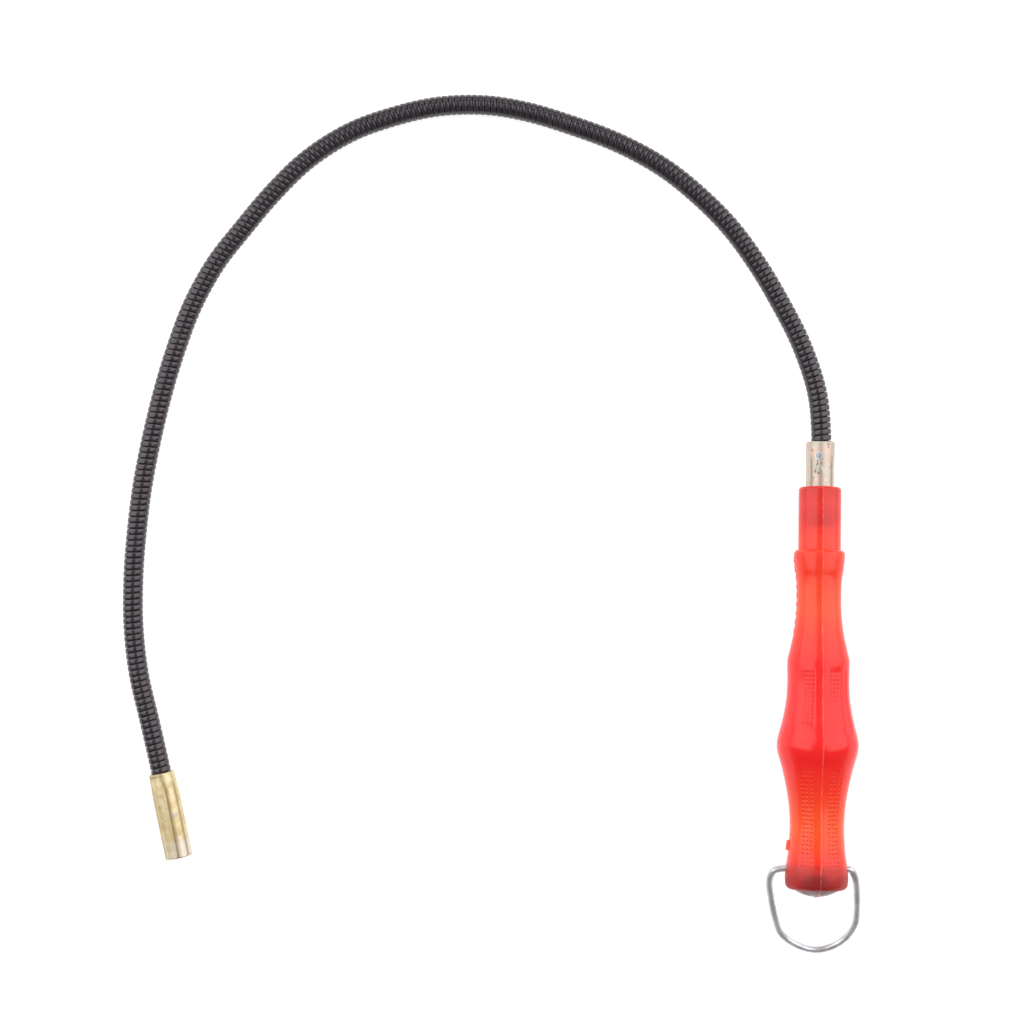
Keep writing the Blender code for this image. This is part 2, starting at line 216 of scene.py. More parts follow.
# ---------------------------------------------------------------- materials
class Nodes:
    """Short calls for building a material's node tree."""

    # The mix node has sockets of the same names for numbers, vectors and colours.
    MIX_COLOUR_A, MIX_COLOUR_B, MIX_COLOUR_RESULT = 6, 7, 2

    def __init__(self, name):
        self.material = bpy.data.materials.new(name)
        self.material.use_nodes = True
        self.tree = self.material.node_tree
        self.shader = self.tree.nodes["Principled BSDF"]
        self.place = self.add("ShaderNodeTexCoord").outputs["Object"]

    def add(self, kind, **settings):
        node = self.tree.nodes.new(kind)
        for key, value in settings.items():
            setattr(node, key, value)
        return node

    def feed(self, socket, value):
        """Links a socket or sets a value. A colour may come without its alpha."""
        if isinstance(value, bpy.types.NodeSocket):
            self.tree.links.new(value, socket)
        elif isinstance(value, tuple) and len(value) == 3 and socket.type == "RGBA":
            socket.default_value = (*value, 1.0)
        else:
            socket.default_value = value

    def set(self, **inputs):
        """Feeds the shader's inputs, with _ in their names in place of spaces."""
        for key, value in inputs.items():
            self.feed(self.shader.inputs[key.replace("_", " ")], value)

    def math(self, operation, a, b=0.0):
        node = self.add("ShaderNodeMath", operation=operation)
        self.feed(node.inputs[0], a)
        self.feed(node.inputs[1], b)
        return node.outputs[0]

    def noise(self, scale, detail=3.0, roughness=0.5, stretch=None, seed=0.0):
        place = self.place
        if stretch is not None or seed:
            mapping = self.add("ShaderNodeMapping")
            self.feed(mapping.inputs["Vector"], place)
            mapping.inputs["Scale"].default_value = stretch or (1.0, 1.0, 1.0)
            mapping.inputs["Location"].default_value = (seed, seed * 0.7, seed * 1.3)
            place = mapping.outputs[0]
        node = self.add("ShaderNodeTexNoise")
        self.feed(node.inputs["Vector"], place)
        node.inputs["Scale"].default_value = scale
        node.inputs["Detail"].default_value = detail
        node.inputs["Roughness"].default_value = roughness
        return node.outputs["Fac"]

    def ramp(self, value, low, high, out_low=0.0, out_high=1.0, smooth=True):
        """Maps low to high onto out_low to out_high and holds the ends."""
        kind = "SMOOTHSTEP" if smooth else "LINEAR"
        node = self.add("ShaderNodeMapRange", interpolation_type=kind)
        self.feed(node.inputs["Value"], value)
        node.inputs["From Min"].default_value = low
        node.inputs["From Max"].default_value = high
        node.inputs["To Min"].default_value = out_low
        node.inputs["To Max"].default_value = out_high
        return node.outputs["Result"]

    def mix(self, share, a, b):
        node = self.add("ShaderNodeMix", data_type="RGBA")
        self.feed(node.inputs["Factor"], share)
        self.feed(node.inputs[self.MIX_COLOUR_A], a)
        self.feed(node.inputs[self.MIX_COLOUR_B], b)
        return node.outputs[self.MIX_COLOUR_RESULT]

    def ellipse_distance(self, x, along, place, radii):
        """Distance from an ellipse's centre, 1 on its edge."""
        shares = [self.math("DIVIDE", self.math("SUBTRACT", value, centre), radius)
                  for value, centre, radius in zip((x, along), place, radii)]
        squares = [self.math("MULTIPLY", share, share) for share in shares]
        return self.math("SQRT", self.math("ADD", *squares))

    def shade(self):
        return self.add("ShaderNodeAttribute", attribute_name=SHADE_LAYER).outputs["Fac"]

    def separate(self, vector):
        node = self.add("ShaderNodeSeparateXYZ")
        self.feed(node.inputs[0], vector)
        return node.outputs

    def bump(self, height, distance, strength):
        node = self.add("ShaderNodeBump")
        self.feed(node.inputs["Height"], height)
        node.inputs["Distance"].default_value = distance
        node.inputs["Strength"].default_value = strength
        self.set(Normal=node.outputs[0])


def finish_piece(piece, material, body, slot, *nodes):
    """Gives the piece its material and its body and hides the CAD nodes that it stands for. slot is
    not used.
    """
    piece.data.materials.clear()
    piece.data.materials.append(material)
    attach(piece, body)
    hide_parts(*nodes)


def own_axes(nodes, matrix):
    """The shaded point in the axes of the handle or the tip, from the mesh's own coordinates."""
    inverse = matrix.inverted()
    mapping = nodes.add("ShaderNodeMapping", vector_type="POINT")
    nodes.feed(mapping.inputs["Vector"], nodes.place)
    mapping.inputs["Rotation"].default_value = inverse.to_euler("XYZ")
    mapping.inputs["Location"].default_value = inverse.translation
    return mapping.outputs[0]


# How the light in and behind the plastic colours it: (along the axis in mm, linear colour)
PLASTIC_ZONES = [
    (-45.3, (0.80, 0.420, 0.360)), (-43.6, (0.60, 0.200, 0.160)), (-42.9, (0.34, 0.010, 0.005)),
    (-39.2, (0.40, 0.012, 0.010)), (-37.8, (0.54, 0.022, 0.016)), (-36.2, (0.62, 0.030, 0.020)),
    (-34.5, (0.92, 0.042, 0.020)), (-30.0, (0.98, 0.075, 0.018)), (-25.0, (0.98, 0.105, 0.016)),
    (-19.0, (0.98, 0.072, 0.014)), (-13.0, (0.97, 0.040, 0.014)), (-8.0, (0.97, 0.026, 0.018)),
    (-5.0, (0.92, 0.014, 0.012)), (-1.5, (0.94, 0.016, 0.014)), (1.0, (0.95, 0.020, 0.021)),
    (16.0, (0.96, 0.023, 0.024)), (25.0, (0.98, 0.026, 0.022)), (33.0, (0.98, 0.050, 0.022)),
    (40.0, (0.98, 0.086, 0.024)), (46.0, (0.98, 0.080, 0.024)), (52.0, (0.98, 0.052, 0.020)),
    (62.5, (0.97, 0.055, 0.026)), (65.5, (0.84, 0.034, 0.026)), (68.5, (0.72, 0.030, 0.026)),
    (72.5, (0.80, 0.038, 0.028)), (77.6, (0.64, 0.032, 0.024))]
# Darker patches where something inside shows: ((x, along), (half width, half length), depth)
PLASTIC_SHADOWS = [((-1.3 * MM, -38.6 * MM), (4.0 * MM, 0.9 * MM), 0.40),
                   ((-1.2 * MM, -40.8 * MM), (4.8 * MM, 2.2 * MM), 0.70),
                   ((-0.2 * MM, 66.8 * MM), (4.2 * MM, 1.8 * MM), 0.16)]
SHADOW_RED = (0.24, 0.008, 0.009)
DOT_RED = (0.62, 0.010, 0.012)
SCUFFED_RED = (1.0, 0.42, 0.38)
CLOUDED_RED = (0.92, 0.034, 0.026)


def red_plastic():
    """Translucent moulded plastic: glowing and dark zones, shaded dots and a scuffed parting line."""
    n = Nodes("red_plastic")
    x, along, _ = n.separate(own_axes(n, handle_matrix))
    start, end = PLASTIC_ZONES[0][0] * MM, PLASTIC_ZONES[-1][0] * MM
    drift = n.math("MULTIPLY", n.math("SUBTRACT", n.noise(130.0, 2.0), 0.5), 1.0 * MM)
    share = n.ramp(n.math("ADD", along, drift), start, end, smooth=False)
    zones = n.add("ShaderNodeValToRGB")
    n.feed(zones.inputs["Fac"], share)
    zones.color_ramp.elements.remove(zones.color_ramp.elements[1])
    for place, colour in PLASTIC_ZONES:
        stop = zones.color_ramp.elements.new((place * MM - start) / (end - start))
        stop.color = (*colour, 1.0)
    zones.color_ramp.elements.remove(zones.color_ramp.elements[0])
    cloud = n.ramp(n.noise(260.0, 4.0, 0.6), 0.35, 0.75, 0.0, 0.20)
    red = n.mix(cloud, zones.outputs["Color"], CLOUDED_RED)
    for place, radii, depth in PLASTIC_SHADOWS:
        away = n.ellipse_distance(x, along, place, radii)
        red = n.mix(n.ramp(away, 1.3, 0.5, 0.0, depth), red, SHADOW_RED)
    red = n.mix(n.math("MULTIPLY", n.shade(), 0.5), red, DOT_RED)
    off_line = n.math("ABSOLUTE", n.math("SUBTRACT", x, PARTING_X))
    near_line = n.ramp(off_line, 0.26 * MM, 0.04 * MM)
    pale = n.ramp(n.noise(500.0, 4.0, 0.7), 0.35, 0.75, 0.08, 0.40)
    red = n.mix(n.math("MULTIPLY", near_line, pale), red, SCUFFED_RED)
    uneven = n.ramp(n.noise(400.0, 4.0), 0.3, 0.7, 0.16, 0.25)
    butt_dull = n.ramp(along, -35.0 * MM, -38.0 * MM, 0.0, 0.22)
    n.set(Base_Color=red, Roughness=n.math("ADD", uneven, butt_dull), Specular_IOR_Level=0.39,
          IOR=1.49, Subsurface_Weight=0.4, Subsurface_Scale=2.5 * MM,
          Subsurface_Radius=(1.0, 0.12, 0.06))
    n.bump(n.noise(900.0, 3.0), 0.01 * MM, 0.25)
    return n.material


BARE_METAL = (0.75, 0.68, 0.60)
PLATE_GRAIN = (0.20, 0.15, 0.10)
PLATE_FLAKE = (0.90, 0.87, 0.83)
PLATE_PIT = (0.08, 0.06, 0.06)
# Painted shade in the crimped grooves: how much darker than the plate they are painted
GROOVE_SHADE_COLOUR = (0.40, 0.32, 0.24)   # as a share of the plate's own colour


def plated(name, base, tint_a, tint_b, matrix, spots, worn_from=None, pitted=None):
    """Passivated zinc plate: drifting tints, fine grain, painted shade in the grooves and the marks
    in spots.

    Each spot is a place, a radius and a colour. From worn_from along the axis the plate is worn to
    bare metal, more so on the -X side. pitted is an ellipse with pits and flakes in it: the place
    of its centre and its radii, across and along.
    """
    n = Nodes(name)
    local = own_axes(n, matrix)
    colour = n.mix(n.ramp(n.noise(420.0, 3.0, 0.6), 0.42, 0.62), base, tint_a)
    second_tint = n.ramp(n.noise(330.0, 2.0, 0.5, seed=3.1), 0.5, 0.68)
    colour = n.mix(n.math("MULTIPLY", second_tint, 0.8), colour, tint_b)
    bright = n.ramp(n.noise(620.0, 4.0, 0.7, seed=9.1), 0.56, 0.70, 0.0, 0.6)
    colour = n.mix(bright, colour, tuple(min(1.0, 1.25 * part) for part in base))
    grain = n.ramp(n.noise(2200.0, 3.0, 0.6, seed=7.7), 0.60, 0.80, 0.0, 0.40)
    colour = n.mix(grain, colour, PLATE_GRAIN)
    for place, radius, tint in spots:
        away = n.add("ShaderNodeVectorMath", operation="DISTANCE")
        n.feed(away.inputs[0], local)
        away.inputs[1].default_value = place
        inside = n.ramp(away.outputs["Value"], radius, radius * 0.6, 0.0, 0.85)
        colour = n.mix(inside, colour, tint)
    x, along, _ = n.separate(local)
    if pitted is not None:
        place, radii = pitted
        near = n.ramp(n.ellipse_distance(x, along, place, radii), 1.1, 0.4)
        pits = n.ramp(n.noise(1500.0, 2.0, 0.5, (1.0, 0.6, 1.0), 4.4), 0.60, 0.66)
        flakes = n.ramp(n.noise(900.0, 3.0, 0.5, (1.0, 0.5, 1.0), 6.2), 0.57, 0.66)
        colour = n.mix(n.math("MULTIPLY", near, flakes), colour, PLATE_FLAKE)
        colour = n.mix(n.math("MULTIPLY", near, pits), colour, PLATE_PIT)
    if worn_from is not None:
        ragged = n.math("ADD", along, n.math("MULTIPLY", n.noise(500.0), 2.0 * MM))
        worn = n.ramp(ragged, worn_from, worn_from + 2.2 * MM)
        side = n.ramp(x, 1.2 * MM, -0.6 * MM, 0.30, 0.85)
        colour = n.mix(n.math("MULTIPLY", worn, side), colour, BARE_METAL)
    # Painted shade along the bottom of each crimped groove, read from the shade attribute
    groove_shade_colour = tuple(share * part for share, part in zip(GROOVE_SHADE_COLOUR, base))
    colour = n.mix(n.math("MULTIPLY", n.shade(), 0.85), colour, groove_shade_colour)
    n.set(Base_Color=colour, Metallic=0.4,
          Roughness=n.ramp(n.noise(700.0, 4.0, 0.6, seed=1.3), 0.3, 0.7, 0.34, 0.50))
    n.bump(n.noise(1300.0, 3.0, 0.5), 0.008 * MM, 0.3)
    return n.material


def black_winding():
    """Oiled black oxide with patches of pale dust."""
    n = Nodes("black_winding")
    colour = n.mix(n.ramp(n.noise(500.0, 4.0, 0.6), 0.4, 0.65), (0.016, 0.013, 0.016),
                   (0.028, 0.023, 0.027))
    dust = n.ramp(n.noise(260.0, 5.0, 0.7, seed=5.0), 0.58, 0.78, 0.0, 0.6)
    colour = n.mix(dust, colour, (0.10, 0.09, 0.095))
    n.set(Base_Color=colour, Metallic=0.0, IOR=1.62, Specular_Tint=(1.0, 0.90, 0.98, 1.0),
          Roughness=n.ramp(n.noise(700.0, 3.0, 0.6, seed=2.0), 0.3, 0.7, 0.13, 0.27))
    n.bump(n.noise(800.0, 4.0, 0.6), 0.03 * MM, 0.5)
    return n.material


def drawn_steel(name, colour, dark, rough_low, rough_high, metallic=1.0):
    """Bare steel that drifts between two colours and two roughnesses."""
    n = Nodes(name)
    drifting = n.mix(n.ramp(n.noise(300.0), 0.35, 0.7), colour, dark)
    n.set(Base_Color=drifting, Metallic=metallic,
          Roughness=n.ramp(n.noise(500.0, seed=4.0), 0.3, 0.7, rough_low, rough_high))
    n.bump(n.noise(900.0, 2.0), 0.004 * MM, 0.3)
    return n.material


# ---------------------------------------------------------------- camera, floor and light
CAMERA_HEIGHT = 700 * MM            # above the handle's axis
VIEW_WIDTH = 307.2 * MM             # seen at that distance
VIEW_FROM_BULGE = Vector((-92.9 * MM, 68.35 * MM, CAMERA_HEIGHT))
CAMERA_ROLL = math.radians(1.0)
CAMERA_SENSOR = 36.0                # width in mm
CAMERA_CLIP_START = 0.01
FLOOR_HALF = 8.0                    # so wide that no edge of it shows in low views
FLOOR_DROP = 0.05 * MM              # keeps the floor clear of what lies on it
FLOOR_GLOW = 0.85
WORLD_LIGHT = 0.27
# Big boxes right and left with a dark slot overhead, and a weak one behind: name, place from the
# tool's middle, width and height, radiance
SOFTBOXES = [("softbox_right", (1.08, 0.42, 0.92), (1.5, 2.05), 1.95),
             ("softbox_left", (-1.10, 0.42, 0.90), (1.5, 2.00), 2.0),
             ("softbox_back", (0.0, 1.45, 0.75), (1.4, 0.6), 1.2)]


def make_camera():
    """Looks straight down on the tool."""
    camera = bpy.data.cameras.new("camera")
    camera.sensor_width = CAMERA_SENSOR
    camera.lens = camera.sensor_width * CAMERA_HEIGHT / VIEW_WIDTH
    camera.clip_start = CAMERA_CLIP_START
    holder = bpy.data.objects.new("camera", camera)
    holder.location = handle_matrix.translation + VIEW_FROM_BULGE
    holder.rotation_euler = (0.0, 0.0, CAMERA_ROLL)
    bpy.context.scene.collection.objects.link(holder)
    bpy.context.scene.camera = holder


def make_floor():
    """A plain white floor that glows a little, so that shadows on it stay faint."""
    mesh = bpy.data.meshes.new("floor")
    corners = [(x * FLOOR_HALF, y * FLOOR_HALF, 0.0) for x, y in ((-1, -1), (1, -1), (1, 1), (-1, 1))]
    mesh.from_pydata(corners, [], [(0, 1, 2, 3)])
    floor = bpy.data.objects.new("floor", mesh)
    floor.location = (0.0, 0.0, -FLOOR_DROP)
    n = Nodes("floor")
    n.set(Base_Color=(0.35, 0.35, 0.35), Roughness=0.9, Emission_Color=(1.0, 1.0, 1.0),
          Emission_Strength=FLOOR_GLOW, Specular_IOR_Level=0.0)
    mesh.materials.append(n.material)
    bpy.context.scene.collection.objects.link(floor)


def add_softbox(name, place, size, radiance):
    """A soft rectangular lamp that faces the middle of the tool."""
    lamp = bpy.data.lights.new(name, "AREA")
    lamp.shape = "RECTANGLE"
    lamp.size, lamp.size_y = size
    lamp.energy = radiance * math.pi * size[0] * size[1]
    holder = bpy.data.objects.new(name, lamp)
    middle = (cad_low + cad_high) / 2
    holder.location = middle + Vector(place)
    holder.rotation_euler = (-Vector(place)).to_track_quat("-Z", "Y").to_euler()
    bpy.context.scene.collection.objects.link(holder)


def make_light():
    """A dim white world and the softboxes."""
    world = bpy.data.worlds.new("world")
    world.use_nodes = True
    background = world.node_tree.nodes["Background"]
    background.inputs["Color"].default_value = (1.0, 1.0, 1.0, 1.0)
    background.inputs["Strength"].default_value = WORLD_LIGHT
    bpy.context.scene.world = world
    for name, place, size, radiance in SOFTBOXES:
        add_softbox(name, place, size, radiance)
    bpy.context.scene.view_settings.view_transform = "Standard"


# ---------------------------------------------------------------- the gooseneck shaft
ROUTE_STEPS = 12                    # points to each span of the route
TRACK_SPACING = 0.5 * MM
WINDING_PITCH = 1.79 * MM
WINDING_MARGIN = 0.6 * WINDING_PITCH        # left free at each end of the shaft
TURN_STEPS = 26                     # facets round one turn
# One turn of the outer wire: (along, in pitches; radius as a share of the shaft's)
WINDING_PROFILE = [(-0.43, 0.80), (-0.455, 0.935), (-0.41, 0.965), (-0.30, 0.984), (-0.13, 0.996),
                   (0.08, 1.0), (0.28, 0.995), (0.40, 0.978), (0.455, 0.940), (0.43, 0.80)]
SPRING_TURN_STEPS = 18
SPRING_WIRE_SIDES = 8
SPRING_WIRE_RADIUS = 0.44 * MM
SPRING_COIL_RADIUS = 1.66 * MM


class Track:
    """A smooth line with a frame that turns as little as possible along it."""

    def __init__(self, points, spacing):
        line = np.array([tuple(p) for p in points])
        steps = np.linalg.norm(np.diff(line, axis=0), axis=1)
        along = np.concatenate([[0.0], np.cumsum(steps)])
        self.length = along[-1]
        self.at = np.linspace(0.0, self.length, round(self.length / spacing) + 1)
        self.line = np.stack([np.interp(self.at, along, line[:, k]) for k in range(3)], axis=1)
        tangents = np.gradient(self.line, axis=0)
        tangents /= np.linalg.norm(tangents, axis=1)[:, None]
        up = np.array((0.0, 0.0, 1.0))
        ups = []
        for tangent in tangents:
            up = up - tangent * (up @ tangent)
            up /= np.linalg.norm(up)
            ups.append(up)
        self.ups = np.array(ups)
        self.sides = np.cross(tangents, self.ups)

    def points(self, along, angles, radii):
        """Points at that distance along the line, angle round it and radius."""
        def look_up(table):
            return np.stack([np.interp(along, self.at, table[:, k]) for k in range(3)], axis=-1)
        return (look_up(self.line) + (radii * np.cos(angles))[..., None] * look_up(self.ups)
                + (radii * np.sin(angles))[..., None] * look_up(self.sides))


def helix_piece(name, track, profile, steps, start, end):
    """A wire wound round the track from start to end. profile is its section, (along, radius)."""
    turns = (end - start) / WINDING_PITCH
    count = round(turns * steps)
    angles = 2 * np.pi * np.arange(count + 1) / steps
    along = start + WINDING_PITCH * angles / (2 * np.pi)
    profile = np.array(profile)
    grid_along = along[:, None] + profile[None, :, 0]
    grid_angles = np.repeat(angles[:, None], len(profile), axis=1)
    grid_radii = np.repeat(profile[None, :, 1], len(along), axis=0)
    points = track.points(grid_along, grid_angles, grid_radii).reshape(-1, 3)
    faces = grid_faces(len(along), len(profile), False, True)
    last = count * len(profile)
    faces.append(tuple(range(len(profile))))
    faces.append(tuple(last + j for j in reversed(range(len(profile)))))
    return mesh_piece(name, points, faces, Matrix.Identity(4), 35.0)


def make_shaft():
    """The outer winding, and inside it the inner spring, half a pitch further on."""
    track = Track(smooth_points(SHAFT_ROUTE, ROUTE_STEPS), TRACK_SPACING)
    flat_wire = [(along * WINDING_PITCH, radius * SHAFT_RADIUS) for along, radius in WINDING_PROFILE]
    winding = helix_piece("outer_winding", track, flat_wire, TURN_STEPS, WINDING_MARGIN,
                          track.length - WINDING_MARGIN)
    finish_piece(winding, black_winding(), "handle", "black_winding", "shaft_outer_winding")
    round_wire = [(SPRING_WIRE_RADIUS * math.cos(a) + 0.5 * WINDING_PITCH,
                   SPRING_COIL_RADIUS + SPRING_WIRE_RADIUS * math.sin(a))
                  for a in np.linspace(0, 2 * np.pi, SPRING_WIRE_SIDES, endpoint=False)]
    spring = helix_piece("inner_spring", track, round_wire, SPRING_TURN_STEPS, WINDING_MARGIN,
                         track.length - 2 * WINDING_MARGIN)
    steel = drawn_steel("inner_spring", (0.12, 0.12, 0.125), (0.06, 0.06, 0.062), 0.3, 0.5)
    finish_piece(spring, steel, "handle", "inner_spring", "shaft_inner_spring")
    return track, winding, spring


# ---------------------------------------------------------------- the crimped ferrules
FERRULE_BORE = 3.2 * MM
FERRULE_BORE_STEPS = 6
FERRULE_EASE = 0.16 * MM            # how much the edges of a ferrule are eased
FERRULE_SIDES = 180
GROOVE_WIDTH = 0.15                 # in radians
GROOVE_SHADE_WIDTH = 0.75 * GROOVE_WIDTH
# Grooves of the handle's ferrule: angle from the top towards +X, depth in mm, how dark its painted
# shade is
HANDLE_GROOVES = [(-93, 0.05, 0.2), (-47, 0.12, 0.9), (-6, 0.05, 0.6), (48, 0.24, 1.0),
                  (87, 0.20, 0.4), (135, 0.18, 0.8), (180, 0.12, 0.7), (225, 0.18, 0.9)]
HANDLE_CRIMP = (3.6 * MM, 7.4 * MM)         # where its grooves grow to their depth, from the mouth
HANDLE_FERRULE_RADIUS = 4.35 * MM
HANDLE_FERRULE_NECK = 0.10 * MM             # how much slimmer it is beyond its head
HANDLE_FERRULE_HEAD = (4.6 * MM, 6.8 * MM)  # where the head ends, from the mouth
HANDLE_FERRULE_ROUGH = 0.04 * MM            # how far it is out of round beyond its head
# Marks on the handle's ferrule, in the handle's axes: place, radius, colour. The first three are
# one blue mark with a pale rim.
PALE_SPOTS = [((x * MM, along * MM, z * MM), radius * MM, colour) for x, along, z, radius, colour in (
    (-1.05, 86.9, 4.2, 1.45, (0.80, 0.76, 0.72)), (-1.05, 86.9, 4.2, 1.15, (0.24, 0.30, 0.40)),
    (-1.05, 87.2, 4.2, 0.50, (0.40, 0.47, 0.55)), (1.90, 90.3, 3.9, 0.60, (0.26, 0.28, 0.16)),
    (2.80, 86.6, 3.3, 0.55, (0.42, 0.33, 0.25)), (2.80, 86.6, 3.3, 0.32, (0.62, 0.54, 0.44)),
    (-2.90, 88.6, 3.2, 0.45, (0.30, 0.22, 0.16)), (-2.00, 82.0, 3.8, 0.50, (0.24, 0.18, 0.13)),
    (-2.60, 80.2, 3.5, 0.40, (0.30, 0.22, 0.16)), (1.90, 89.4, 3.9, 0.32, (0.20, 0.17, 0.12)),
    (-0.20, 84.6, 4.2, 0.28, (0.14, 0.10, 0.09)), (0.10, 82.2, 4.2, 0.30, (0.24, 0.16, 0.14)))]
PALE_PITTED = ((-0.6 * MM, 83.2 * MM), (1.9 * MM, 3.4 * MM))
# Grooves of the tip's ferrule: angle from the top at the mouth, how far it turns, how far it runs
# aside at the mouth, depth in mm, how dark its painted shade is. The tip's own +X is to the left as
# seen from above with the mouth upwards.
TIP_GROOVES = [(-58, 3, 0, 0.14, 0.9), (-12.5, 6, 9, 0.24, 1.0), (57, 3, 0, 0.12, 0.8),
               (118, 4, 0, 0.16, 0.8), (176, 4, 0, 0.20, 0.9), (238, 4, 0, 0.16, 0.8)]
TIP_CRIMP = (1.0 * MM, 6.0 * MM)    # where its grooves grow to their depth and straighten
TIP_LIP = 0.9 * MM                  # how far from the mouth the rolled line runs
TIP_LIP_WIDTH = 0.3 * MM
TIP_LIP_DEPTH = 0.12 * MM
TIP_WORN_LENGTH = 5.4 * MM
# Marks on the tip's ferrule, in the tip's axes: place, radius, colour
YELLOW_SPOTS = [((-2.0 * MM, 13.2 * MM, 3.5 * MM), 1.1 * MM, (0.52, 0.46, 0.43)),
                ((-2.0 * MM, 4.4 * MM, 3.2 * MM), 0.32 * MM, (0.30, 0.28, 0.10)),
                ((-2.2 * MM, 10.2 * MM, 3.3 * MM), 0.22 * MM, (0.34, 0.28, 0.14))]
MAGNET_EDGE_RADIUS = 0.2 * MM
MAGNET_SIDES = 64


def groove(angles, centre, width):
    """The cross section of one crimped groove, 1 at its bottom."""
    away = (angles - math.radians(centre) + np.pi) % (2 * np.pi) - np.pi
    return np.exp(-(away / width) ** 2)


def crimped_piece(name, outline, matrix, grooves_at, radius_at, painted_shade=None):
    """A ferrule with crimped grooves.

    grooves_at(along) lists the angle, depth and painted shade of each groove, radius_at(along,
    angles, radius) gives the radii before crimping, and the last argument (along, angles) adds
    painted shade.
    """
    def radii(along, angles, radius):
        if radius <= FERRULE_BORE:
            return np.full_like(angles, radius)
        cut = sum(depth * MM * groove(angles, centre, GROOVE_WIDTH)
                  for centre, depth, _ in grooves_at(along))
        return radius_at(along, angles, radius) - cut

    piece = turned_piece(name, outline, FERRULE_SIDES, matrix, radii)
    angles = np.linspace(0, 2 * np.pi, FERRULE_SIDES, endpoint=False)
    shades = []
    for along, _ in outline:
        # Painted shade along the bottom of each groove
        shade = sum(dark * groove(angles, centre, GROOVE_SHADE_WIDTH)
                    for centre, _, dark in grooves_at(along))
        shades.append(shade if painted_shade is None else np.clip(shade + painted_shade(along, angles), 0.0, 1.0))
    add_shade(piece, shades)
    return piece


def ferrule_outline(outer, steps):
    """Outer wall from mouth to end with eased edges, then back along the bore."""
    length, ease = FERRULE_LENGTH, FERRULE_EASE
    outside = [(length * i / steps, outer(length * i / steps)) for i in range(steps + 1)]
    inside = [(length * (1 - i / FERRULE_BORE_STEPS), FERRULE_BORE)
              for i in range(FERRULE_BORE_STEPS + 1)]
    mouth_radius, end_radius = outside[0][1], outside[-1][1]
    head = [(0.0, mouth_radius - 2 * ease), (ease * 0.3, mouth_radius - 0.6 * ease),
            (ease, mouth_radius)]
    tail = [(length - ease, end_radius), (length - 0.3 * ease, end_radius - 0.6 * ease),
            (length, end_radius - 2 * ease)]
    return [*head, *outside[1:-1], *tail, *inside]


def make_handle_ferrule():
    """Pale zinc, hardly crimped at its head. along is negative from the mouth into the handle."""
    def outer(back):
        return HANDLE_FERRULE_RADIUS - HANDLE_FERRULE_NECK * smooth_step(back, *HANDLE_FERRULE_HEAD)

    def uneven(along, angles, radius):
        share = smooth_step(-along, 1 * MM, 5 * MM)
        return radius + HANDLE_FERRULE_ROUGH * np.sin(3 * angles + 1.0) * share

    def grooves_at(along):
        grown = 0.25 + 0.75 * smooth_step(-along, *HANDLE_CRIMP)
        return [(centre, depth * grown, dark * grown) for centre, depth, dark in HANDLE_GROOVES]

    outline = [(-along, radius) for along, radius in ferrule_outline(outer, 60)]
    mouth = handle_matrix @ Matrix.Translation((0, HANDLE_FERRULE_MOUTH, 0))
    piece = crimped_piece("handle_ferrule_crimped", outline, mouth, grooves_at, uneven)
    finish = plated("pale_zinc", (0.61, 0.54, 0.46), (0.68, 0.47, 0.40), (0.49, 0.49, 0.36),
                    handle_matrix, PALE_SPOTS, pitted=PALE_PITTED)
    finish_piece(piece, finish, "handle", "pale_zinc", "handle_ferrule")


def make_tip():
    """The yellow ferrule, worn at its end, and the bar magnet in it."""
    def outer(on):
        return (3.85 + 0.27 * smooth_step(on, 0.0, 9.0 * MM)) * MM

    def lip_line(along, angles):
        one_side = np.clip(np.sin(angles + 0.3), 0.0, 1.0)
        return np.exp(-((along - TIP_LIP) / TIP_LIP_WIDTH) ** 2) * one_side

    def rolled(along, angles, radius):
        return radius - TIP_LIP_DEPTH * lip_line(along, angles)

    # Painted shade: a dark line in the hollow under the rolled lip, on one side only, and a dark rim
    # at the cut end
    def painted_shade(along, angles):
        shaded_end = 0.8 if along > FERRULE_LENGTH - 0.2 * MM else 0.0
        return lip_line(along, angles) + shaded_end

    def grooves_at(along):
        grown = 0.45 + 0.55 * smooth_step(along, *TIP_CRIMP)
        aside = 1 - smooth_step(along, *TIP_CRIMP)
        share = along / FERRULE_LENGTH
        return [(centre + turn * share + jog * aside, depth * grown, dark * grown)
                for centre, turn, jog, depth, dark in TIP_GROOVES]

    piece = crimped_piece("tip_ferrule_crimped", ferrule_outline(outer, 90), tip_matrix, grooves_at,
                          rolled, painted_shade)
    finish = plated("yellow_zinc", (0.68, 0.54, 0.285), (0.78, 0.66, 0.41), (0.57, 0.43, 0.22),
                    tip_matrix, YELLOW_SPOTS, worn_from=FERRULE_LENGTH - TIP_WORN_LENGTH)
    finish_piece(piece, finish, "handle", "yellow_zinc", "tip_ferrule")
    face = FERRULE_LENGTH + MAGNET_PROUD
    back = face - MAGNET_LENGTH
    outline = [(back, CENTRE_RADIUS), (back, MAGNET_RADIUS),
               *edge_arc(face, MAGNET_RADIUS, MAGNET_EDGE_RADIUS, 1, 4), (face, CENTRE_RADIUS)]
    magnet = turned_piece("bar_magnet", outline, MAGNET_SIDES, tip_matrix)
    steel = drawn_steel("magnet_grey", (0.36, 0.36, 0.37), (0.22, 0.22, 0.22), 0.3, 0.45)
    finish_piece(magnet, steel, "handle", "magnet_grey", "tip_magnet")
    return piece, magnet


